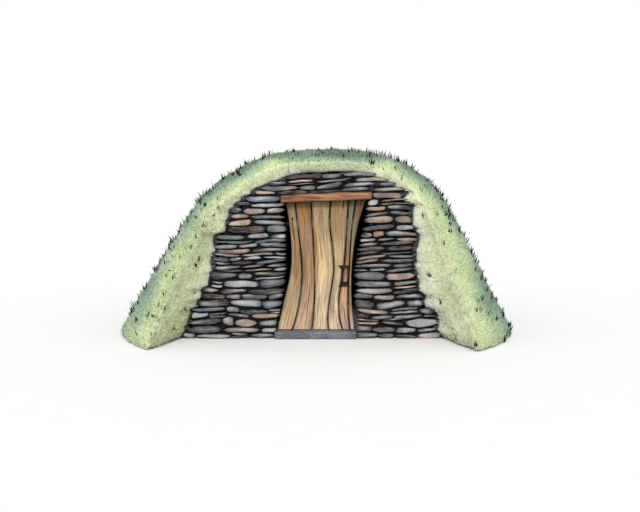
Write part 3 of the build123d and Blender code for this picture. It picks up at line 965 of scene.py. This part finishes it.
# Door
def board_ring():
    """Once round a board: share across, out past the rounding, back from the face, which face."""
    across = [(u, 0.0, 0.0) for u in np.linspace(0, 1, BOARD_CELLS + 1)]
    right = [(1.0, math.sin(t), 1 - math.cos(t)) for t in np.radians([30, 60, 90])]
    left = [(0.0, -out, back) for _, out, back in right]
    behind = right[::-1] + across[::-1] + left
    sides = [(across + right, 1), (behind, -1), (left[::-1], 1)]
    return np.array([(*point, side) for points, side in sides for point in points])


def board_tints(index, part, under_top, x, left, right):
    """A board's colours along one row: tones over its height, grey painted shade at its edges and
    left side, a painted dark rim, and the lintel's painted shadow.
    """
    stops = [WOOD_TONES[name] for name in reversed(BOARD_TONES[index])]
    base = np.array([np.interp(part, (0, 0.5, 0.75), tone) for tone in zip(*stops)])
    # Painted shade over the head of the door, under the lintel
    base *= 1 - HEAD_SHADE * unit((part - 0.62) / 0.3)
    middle, half = (left + right) / 2, (right - left) / 2
    # Painted shade: grey towards both edges of a board, stronger towards its head
    edge_shade = unit((np.abs(x - middle) / half - 0.55) / 0.45) ** 1.5 * (0.40 + 0.40 * part)
    # Painted shade: grey over the left side of some boards, up to two thirds of their height
    grey = LEFT_SIDE_SHADE.get(index, 0) * unit((middle - x) / half)
    grey = grey * unit((0.66 - part) / 0.25) * unit(part / 0.30)
    edge_shade = np.maximum(edge_shade, grey)[:, None]
    # Painted shade: a dark rim along both edges of a board
    rim = unit(1 - (half - np.abs(x - middle)) / BOARD_RIM)[:, None]
    tints = (base * (1 - edge_shade) + BOARD_EDGE_SHADE * edge_shade) * (1 - 0.88 * rim)
    # Painted shadow of the lintel across the top of the board
    return tints * (1 - 0.6 * unit((UNDER_LINTEL - under_top) / 0.03))


def board_quads(count):
    """The faces between a board's rows, and those that close its foot and its head."""
    base = np.arange(BOARD_ROWS - 1)[:, None] * count
    k = np.arange(count)[None, :]
    after = (k + 1) % count
    quads = np.stack([base + k, base + after, base + count + after, base + count + k], axis=2)
    lids = []
    for start, flip in ((0, False), ((BOARD_ROWS - 1) * count, True)):
        for i in range(BOARD_CELLS + 3):
            back = start + (count - 4 - i) % count, start + (count - 5 - i) % count
            quad = [*back, start + (i - 2) % count, start + (i - 3) % count]
            lids.append(quad if flip else quad[::-1])
    return np.vstack([quads.reshape(-1, 4), lids])


def board(index, node):
    """One board of the door, on the bent edges of its solid."""
    rng = np.random.default_rng(50 + index)
    edges = node_edges(node)
    (_, front, foot), (_, back, head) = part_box(node)
    turns = np.linspace(0.02, math.pi - 0.02, BOARD_ROWS)
    across, out, inward, side = board_ring().T
    points, grain, tints = [], [], []
    for level in foot + (head - foot) * (0.5 - 0.5 * np.cos(turns)):
        left, right = span_at(edges, min(max(level, foot + 1e-4), head - 1e-4))
        left, right = left + BOARD_SHY, right - BOARD_SHY
        x = left + BOARD_ROUND + (right - left - 2 * BOARD_ROUND) * across + BOARD_ROUND * out
        y = np.where(side > 0, front + BOARD_ROUND * inward, back - BOARD_ROUND * inward)
        z = np.full(len(side), level)
        points.append(np.stack([x, y, z], axis=1))
        grain.append(np.stack([x - (left + right) / 2 + BOARD_APART * index, y, z], axis=1))
        part = (level - foot) / (head - foot)
        tints.append(board_tints(index, part, head - level, x, left, right))
    points, grain, tints = np.vstack(points), np.vstack(grain), np.vstack(tints)
    hollow = ripple(grain * np.array([1, 0, 0.12]), rng, 0.0022, pitch=30)[:, 1]
    inwards = np.where(points[:, 1] < (front + back) / 2, 1, -1)
    points[:, 1] += inwards * np.abs(hollow)
    obj = mesh_object(f"board_{index + 1}", points, board_quads(len(side)), BOARDS, tints)
    layer = obj.data.attributes.new("grain", "FLOAT_VECTOR", "POINT")
    layer.data.foreach_set("vector", grain.astype(np.float32).ravel())
    return obj


def nail_heads():
    """Clenched nail heads along the two strap hinges."""
    heap = []
    points, quads = cube_grid((4, 4, 4))
    ball = points / np.linalg.norm(points, axis=1)[:, None] * np.array([0.009, 0.004, 0.009])
    rng = np.random.default_rng(5)
    for node in ("hinge_strap_lower", "hinge_strap_upper"):
        start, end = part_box(node)
        for x in np.linspace(start[0] + 0.11, end[0] - 0.04, 5):
            middle = (start[2] + end[2]) / 2 + rng.uniform(-0.003, 0.003)
            heap.append((ball + [x, end[1] + 0.001, middle], quads, np.ones(3)))
    return heap_object("strap_nails", heap, IRON)


def show_door():
    for index, node in enumerate(PLANK_NODES):
        settle(board(index, node), "door", "plank_timber", node)
    for node in ("door_ledge_lower", "door_ledge_upper", "door_brace"):
        piece = worn(f"{node}_hewn", node, LEDGE_TIMBER, cell=0.008, wobble=0.0008)
        settle(piece, "door", "plank_timber", node)
    for node in ("hinge_strap_lower", "hinge_strap_upper"):
        settle(bevelled(f"{node}_forged", node, 0.0012, IRON), "door", "iron", node)
    settle(nail_heads(), "door", "iron")
    pull = worn("pull_forged", "door_pull", IRON, cell=0.0025, wobble=0.0006, along=2, passes=1)
    settle(pull, "door", "iron", "door_pull")
    for node in ("pintle_lower", "pintle_upper"):
        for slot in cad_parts[node].material_slots:
            slot.material = IRON


def show_timbers():
    beam = worn("lintel_hewn", "lintel_front", LINTEL, cell=0.007, wobble=0.005, rim=0.017)
    settle(beam, "cellar", "lintel_timber", "lintel_front")
    for node in ("lintel_middle", "lintel_rear"):
        beam = worn(f"{node}_hewn", node, INNER_TIMBER, cell=0.016, wobble=0.006)
        settle(beam, "cellar", "lintel_timber", node)
    post = worn("post_hewn", "door_post", POST_TIMBER, cell=0.012, wobble=0.002, along=2)
    settle(post, "cellar", "lintel_timber", "door_post")
    sill = worn("threshold_worn", "threshold_stone", SLATE, cell=0.014, wobble=0.003, passes=3)
    tone = np.array(SLATE_TONES["grey"]) * [0.55, 0.57, 0.60]
    colour_mesh(sill.data, np.tile(tone, (len(sill.data.vertices), 1)))
    settle(sill, "cellar", "slate", "threshold_stone")


show_door()
show_timbers()


# Sod
# Tones of the turf, from the painted light beside the wall to the painted shade at its outline
TURF_TONES = tones(
    halo=(1.0, 1.0, 0.95), yellow=(0.98, 1.0, 0.87), green=(0.89, 0.94, 0.79),
    blue=(0.70, 0.79, 0.73), outline=(0.57, 0.66, 0.56),
)
# Where those tones lie between the wall and the outline of the mound
TURF_STOPS = [0.03, 0.20, 0.62, 0.92, 1.13]
# The turf's mesh: size of its cells, rounds of smoothing, and height of a full ridge
TURF_CELL = 0.036
TURF_PASSES = 16
RIDGE_HEIGHT = 0.0016
# Blades of grass: their number, how thick they stand at distances behind the wall's face, their
# form, and the deeper green of some
BLADE_COUNT = 165000
THINNING = ((0.9, 2.6), (1.0, 0.45))
GRASS = dict(height=(0.022, 0.052), width=(0.005, 0.009), spread=0.34)
DEEP_GREEN = np.array([0.54, 0.61, 0.48])
DEEP_SHARE = 0.17
# The skyline is searched round this place of the photograph, in pixels, by steps of an angle
MOUND_MIDDLE = (316, 320)
SKYLINE_STEP = 0.012
# Dark tufts: their form and colour, their share of the skyline, and their number elsewhere
TUFT = dict(width=(0.013, 0.022), spread=0.24, up=0.8)
INK = linear(0.10, 0.11, 0.08)
SKYLINE_SHARE = 0.72
LOOSE_COUNT, LOOSE_NEAR = 240, 60


def turf_tints(points):
    """Painted light and shade: pale beside the wall, yellow-green between, blue-green shade towards
    the outline and the top.
    """
    x, y, z = points.T
    crest = high("mound_crest")[2]
    wall_top = high("front_wall_head")[2]
    levels = np.linspace(0.02, crest - 0.02, 40)
    everything = [np.vstack(pair) for pair in zip(*[node_edges(n) for n in MOUND_NODES])]
    outer = np.array([span_at(everything, level) for level in levels])
    reach = (z - wall_top) / (crest - wall_top) * 1.3
    for side, end, far in zip((-1, 1), (LEFT_END, RIGHT_END), outer.T):
        wall = np.interp(z, *zip(*end))
        width = side * (np.interp(z, levels, far) - wall)
        reach = np.maximum(reach, side * (x - wall) / np.maximum(width, 0.05))
    # Painted shade deepens towards the top
    reach = np.clip(reach, 0, 1.1) * (1 + 0.27 * unit(z - 1.0))
    behind = unit((y - (FACE + 0.7)) / 2.2)
    reach = np.clip(reach, 0.55 * behind, 1.20 - 0.36 * behind)
    reach += 0.19 * cloud(points, 1.6, seed=3.0)
    mixed = np.stack([np.interp(reach, TURF_STOPS, c) for c in zip(*TURF_TONES.values())], axis=1)
    patch = 0.7 * unit(0.5 + 0.9 * cloud(points, 0.9, seed=8.0)) * behind
    return mixed * (1 - patch[:, None]) + np.outer(patch, TURF_TONES["yellow"])


def ridges(mesh, points, normals):
    """Where the turf turns sharply outward, 0 to 1, evened out over a few rounds."""
    a, b = column(mesh.edges, "vertices", 2, np.int32).T
    count = np.bincount(np.concatenate([a, b]), minlength=len(points))[:, None]

    def around(values):
        total = np.zeros_like(values)
        np.add.at(total, a, values[b])
        np.add.at(total, b, values[a])
        return total / count

    out = (normals * (points - around(points))).sum(axis=1)[:, None]
    for _ in range(8):
        out = around(out)
    return unit(out[:, 0] / RIDGE_HEIGHT)


def meet_stones(points):
    """Moves the turf's edge in and out to the ends of the courses."""
    x, y, z = points.T
    levels = np.linspace(0.02, high("front_wall_left")[2] - 0.02, 60)
    for side, node, end in ((-1, "front_wall_left", 0), (1, "front_wall_right", 1)):
        edges = node_edges(node)
        plain = np.interp(z, levels, [span_at(edges, v)[end] for v in levels])
        ragged = np.interp(z, course_ends[:, 0], course_ends[:, 1 + end])
        away = side * (x - plain)
        near = unit(1 - np.maximum(away, 0) / 0.22) * unit(1 + away / 0.10)
        near *= unit((FACE + 0.30 - y) / 0.12) * (z < levels[-1])
        x += (ragged - plain + side * 0.006) * near


def sod():
    """One turf over the whole mound, rolled over at the wall."""
    obj = remeshed("turf", MOUND_NODES, TURF_CELL, TURF_PASSES, SOD)
    points, normals = column(obj.data.vertices, "co"), column(obj.data.vertices, "normal")
    ridge = ridges(obj.data, points, normals)
    lumps = 0.009 * cloud(points, 3.2, seed=1.0) + 0.010 * cloud(points, 7.0, seed=2.0)
    points += normals * (lumps - 0.012)[:, None]
    meet_stones(points)
    points[:, 2] = np.maximum(points[:, 2], 0.0)
    move_points(obj.data, points)
    # Painted shade along the turf's outward ridges below 1.75 m, toning down the light they catch
    shade = 1 - 0.20 * ridge * unit((1.75 - points[:, 2]) / 0.4)
    colour_mesh(obj.data, turf_tints(points) * shade[:, None])
    return obj


def open_faces(mesh):
    """Triangles of the turf that see the sky, or the open air in front of the wall."""
    mesh.calc_loop_triangles()
    tris = column(mesh.loop_triangles, "vertices", 3, np.int32)
    points = column(mesh.vertices, "co")
    tree = BVHTree.FromPolygons([Vector(p) for p in points], tris.tolist())
    a, b, c = (points[tris[:, k]] for k in range(3))
    middle = (a + b + c) / 3
    cross = np.cross(b - a, c - a)
    area = np.linalg.norm(cross, axis=1) / 2
    normal = cross / np.maximum(2 * area, 1e-12)[:, None]
    start = middle + normal * 0.01
    forward = (middle[:, 1] < FACE + 0.02) & (normal[:, 1] < -0.05)

    def free(place, way):
        return tree.ray_cast(Vector(place), Vector(way))[0] is None

    seen = np.array([
        free(place, (0, 0, 1)) or (ahead and free(place, (0, -1, 0.25)))
        for place, ahead in zip(start, forward)
    ])
    seen &= middle[:, 2] > 0.015
    return tris[seen], area[seen], normal[seen], middle[seen]


def blades(name, rng, root, normal, tint, height, width, spread, up=0.6):
    """Bent, tapering blades, of five points and three faces each."""
    count = len(root)
    way = normal * (1 - up) + np.array([0, 0, up]) + rng.normal(0, spread, (count, 3))
    way /= np.linalg.norm(way, axis=1)[:, None]
    side = np.cross(way, rng.normal(size=(count, 3)))
    side /= np.linalg.norm(side, axis=1)[:, None]
    bend = np.cross(side, way) * rng.uniform(-0.35, 0.35, (count, 1))
    tall = rng.uniform(*height, count)[:, None]
    half = side * rng.uniform(*width, (count, 1)) / 2
    root = root - way * 0.006
    middle = root + way * tall * 0.55 + bend * tall * 0.25
    tip = root + (way + bend) * tall
    points = np.stack([root - half, root + half, middle - half * 0.75, middle + half * 0.75, tip], 1)
    points[:, :, 2] = np.maximum(points[:, :, 2], 0.001)
    first = np.arange(count)[:, None] * 5
    faces = np.vstack([first + [0, 1, 3], first + [0, 3, 2], first + [2, 3, 4]])
    # Painted shade darkens each blade at its root; its tip is paler
    tints = tint[:, None, :] * np.array([0.86, 0.86, 1.0, 1.0, 1.12])[None, :, None]
    return mesh_object(name, points.reshape(-1, 3), faces, BLADES, tints.reshape(-1, 3), False)


def grow(name, rng, mesh, faces, weights, count):
    """Blades of grass rooted on some of the turf's triangles, in the turf's own tones with their
    painted light and shade.
    """
    points = column(mesh.vertices, "co")
    tints = column(mesh.color_attributes["tint"].data, "color", 4)[:, :3]
    tris, normal = faces
    chosen = rng.choice(len(tris), count, p=weights / weights.sum())
    u, v = rng.random((2, count))
    over = u + v > 1
    u[over], v[over] = 1 - u[over], 1 - v[over]
    shares = np.stack([1 - u - v, u, v], axis=1)[:, :, None]
    root, tint = ((rows[tris[chosen]] * shares).sum(axis=1) for rows in (points, tints))
    deep = rng.random(count) < DEEP_SHARE * unit((0.95 - tint.mean(axis=1)) / 0.2)
    tint[deep] *= DEEP_GREEN
    tint = unit(tint * rng.uniform(0.88, 1.14, (count, 1)))
    return blades(name, rng, root, normal[chosen], tint, **GRASS)


def dark_tufts(name, rng, roots, normals, tall):
    """Small tufts of dark blades."""
    each = rng.integers(2, 6, len(roots))
    root, normal, tall = (np.repeat(rows, each, axis=0) for rows in (roots, normals, tall))
    root = root + rng.normal(0, 0.014, root.shape) * [1, 1, 0.3]
    ink = np.tile(INK, (len(root), 1)) * rng.uniform(0.6, 1.3, (len(root), 1))
    return blades(name, rng, root, normal, ink, height=(tall * 0.55, tall), **TUFT)


def in_picture(points):
    """Where points of the frame fall in the photograph, in pixels."""
    x, y, z = (points - [CAMERA_RIGHT, FACE - CAMERA_AWAY, CAMERA_HIGH]).T
    away = y * math.cos(CAMERA_TILT) - z * math.sin(CAMERA_TILT)
    up = y * math.sin(CAMERA_TILT) + z * math.cos(CAMERA_TILT)
    reach = PX_PER_METRE * CAMERA_AWAY
    return np.stack([IMAGE_WIDE / 2 + reach * x / away, IMAGE_HIGH / 2 - reach * up / away], axis=1)


def skyline(rng, middle):
    """The turf's faces along its outline as the photograph sees it."""
    seen = in_picture(middle) - np.array(MOUND_MIDDLE)
    angle = np.arctan2(-seen[:, 1], seen[:, 0])
    reach = np.linalg.norm(seen, axis=1)
    found = []
    for start in np.arange(-0.12, math.pi + 0.12, SKYLINE_STEP):
        inside = np.where((angle >= start) & (angle < start + SKYLINE_STEP))[0]
        if len(inside):
            outer = inside[reach[inside] > reach[inside].max() - 3.0]
            found.append(rng.choice(outer))
    return np.array(found)


def show_sod():
    """The turf, the grass on four parts of it, and the dark tufts along its outline and over it."""
    rng = np.random.default_rng(77)
    turf = sod()
    settle(turf, "cellar", "sod", *MOUND_NODES)
    tris, area, normal, middle = open_faces(turf.data)

    left, front = middle[:, 0] < 0, middle[:, 1] < FACE + 1.25
    weights = area * np.interp(middle[:, 1] - FACE, *THINNING)
    for part, along in (("front", front), ("back", ~front)):
        for side, across in (("left", left), ("right", ~left)):
            region = along & across
            count = int(BLADE_COUNT * weights[region].sum() / weights.sum())
            faces = tris[region], normal[region]
            piece = grow(f"grass_{part}_{side}", rng, turf.data, faces, weights[region], count)
            settle(piece, "cellar", "sod")

    line = skyline(rng, middle)
    line = line[rng.random(len(line)) < SKYLINE_SHARE]
    near = (middle[:, 1] < FACE + 0.8) & (normal[:, 1] < 0.1)
    loose = np.concatenate([
        rng.choice(len(tris), LOOSE_COUNT, p=area / area.sum(), replace=False),
        rng.choice(np.where(near)[0], LOOSE_NEAR, replace=False),
    ])
    for name, chosen, tall in (("skyline_tufts", line, 0.125), ("loose_tufts", loose, 0.090)):
        room = high("mound_crest")[2] + 0.060 - middle[chosen][:, 2]
        tufts = dark_tufts(name, rng, middle[chosen], normal[chosen], np.clip(room, 0.05, tall))
        settle(tufts, "cellar", "sod")


show_sod()


# Camera, floor and light
# The sky's strength and the floor's grey for spread light; seen directly, both are white
SKY = 0.70
FLOOR_GREY = (0.60, 0.60, 0.60)
FLOOR_HALF = 400
SUN = 1.7
SUN_SOFT = math.radians(14)
SUN_TURN = (math.radians(54), 0, math.radians(-6))
SENSOR_WIDE = 36


def look():
    """A white floor and sky, a soft sun from the front, and the photograph's view."""
    n = Nodes("floor")
    grain = n.noise(n.place(), 3.0)
    pale = n.ramp(grain, (0.3, 0.985), (0.7, 0.995))
    n.finish(n.mix(n.direct(), FLOOR_GREY, pale), roughness=0.95, specular=0.0)
    corners = [(x * FLOOR_HALF, y * FLOOR_HALF, 0) for x, y in ((-1, -1), (1, -1), (1, 1), (-1, 1))]
    floor = mesh_object("floor", corners, [(0, 1, 2, 3)], n.owner)

    world = bpy.data.worlds.new("world")
    bpy.context.scene.world = world
    n = Nodes("world", world)
    sky = n.tree.nodes["Background"]
    sky.inputs["Color"].default_value = (1, 1, 1, 1)
    n.link(n.math("ADD", n.math("MULTIPLY", n.direct(), 1 - SKY), SKY), sky.inputs["Strength"])

    sun = bpy.data.lights.new("sun", "SUN")
    sun.energy = SUN
    sun.angle = SUN_SOFT
    link("sun", sun).rotation_euler = SUN_TURN

    camera = bpy.data.cameras.new("camera")
    camera.sensor_width = SENSOR_WIDE
    camera.lens = SENSOR_WIDE * PX_PER_METRE * CAMERA_AWAY / IMAGE_WIDE
    eye = link("camera", camera)
    eye.location = (CAMERA_RIGHT, FACE - CAMERA_AWAY, CAMERA_HIGH)
    eye.rotation_euler = (math.pi / 2 - CAMERA_TILT, 0, 0)
    bpy.context.scene.camera = eye
    bpy.context.scene.view_settings.view_transform = "Standard"


look()
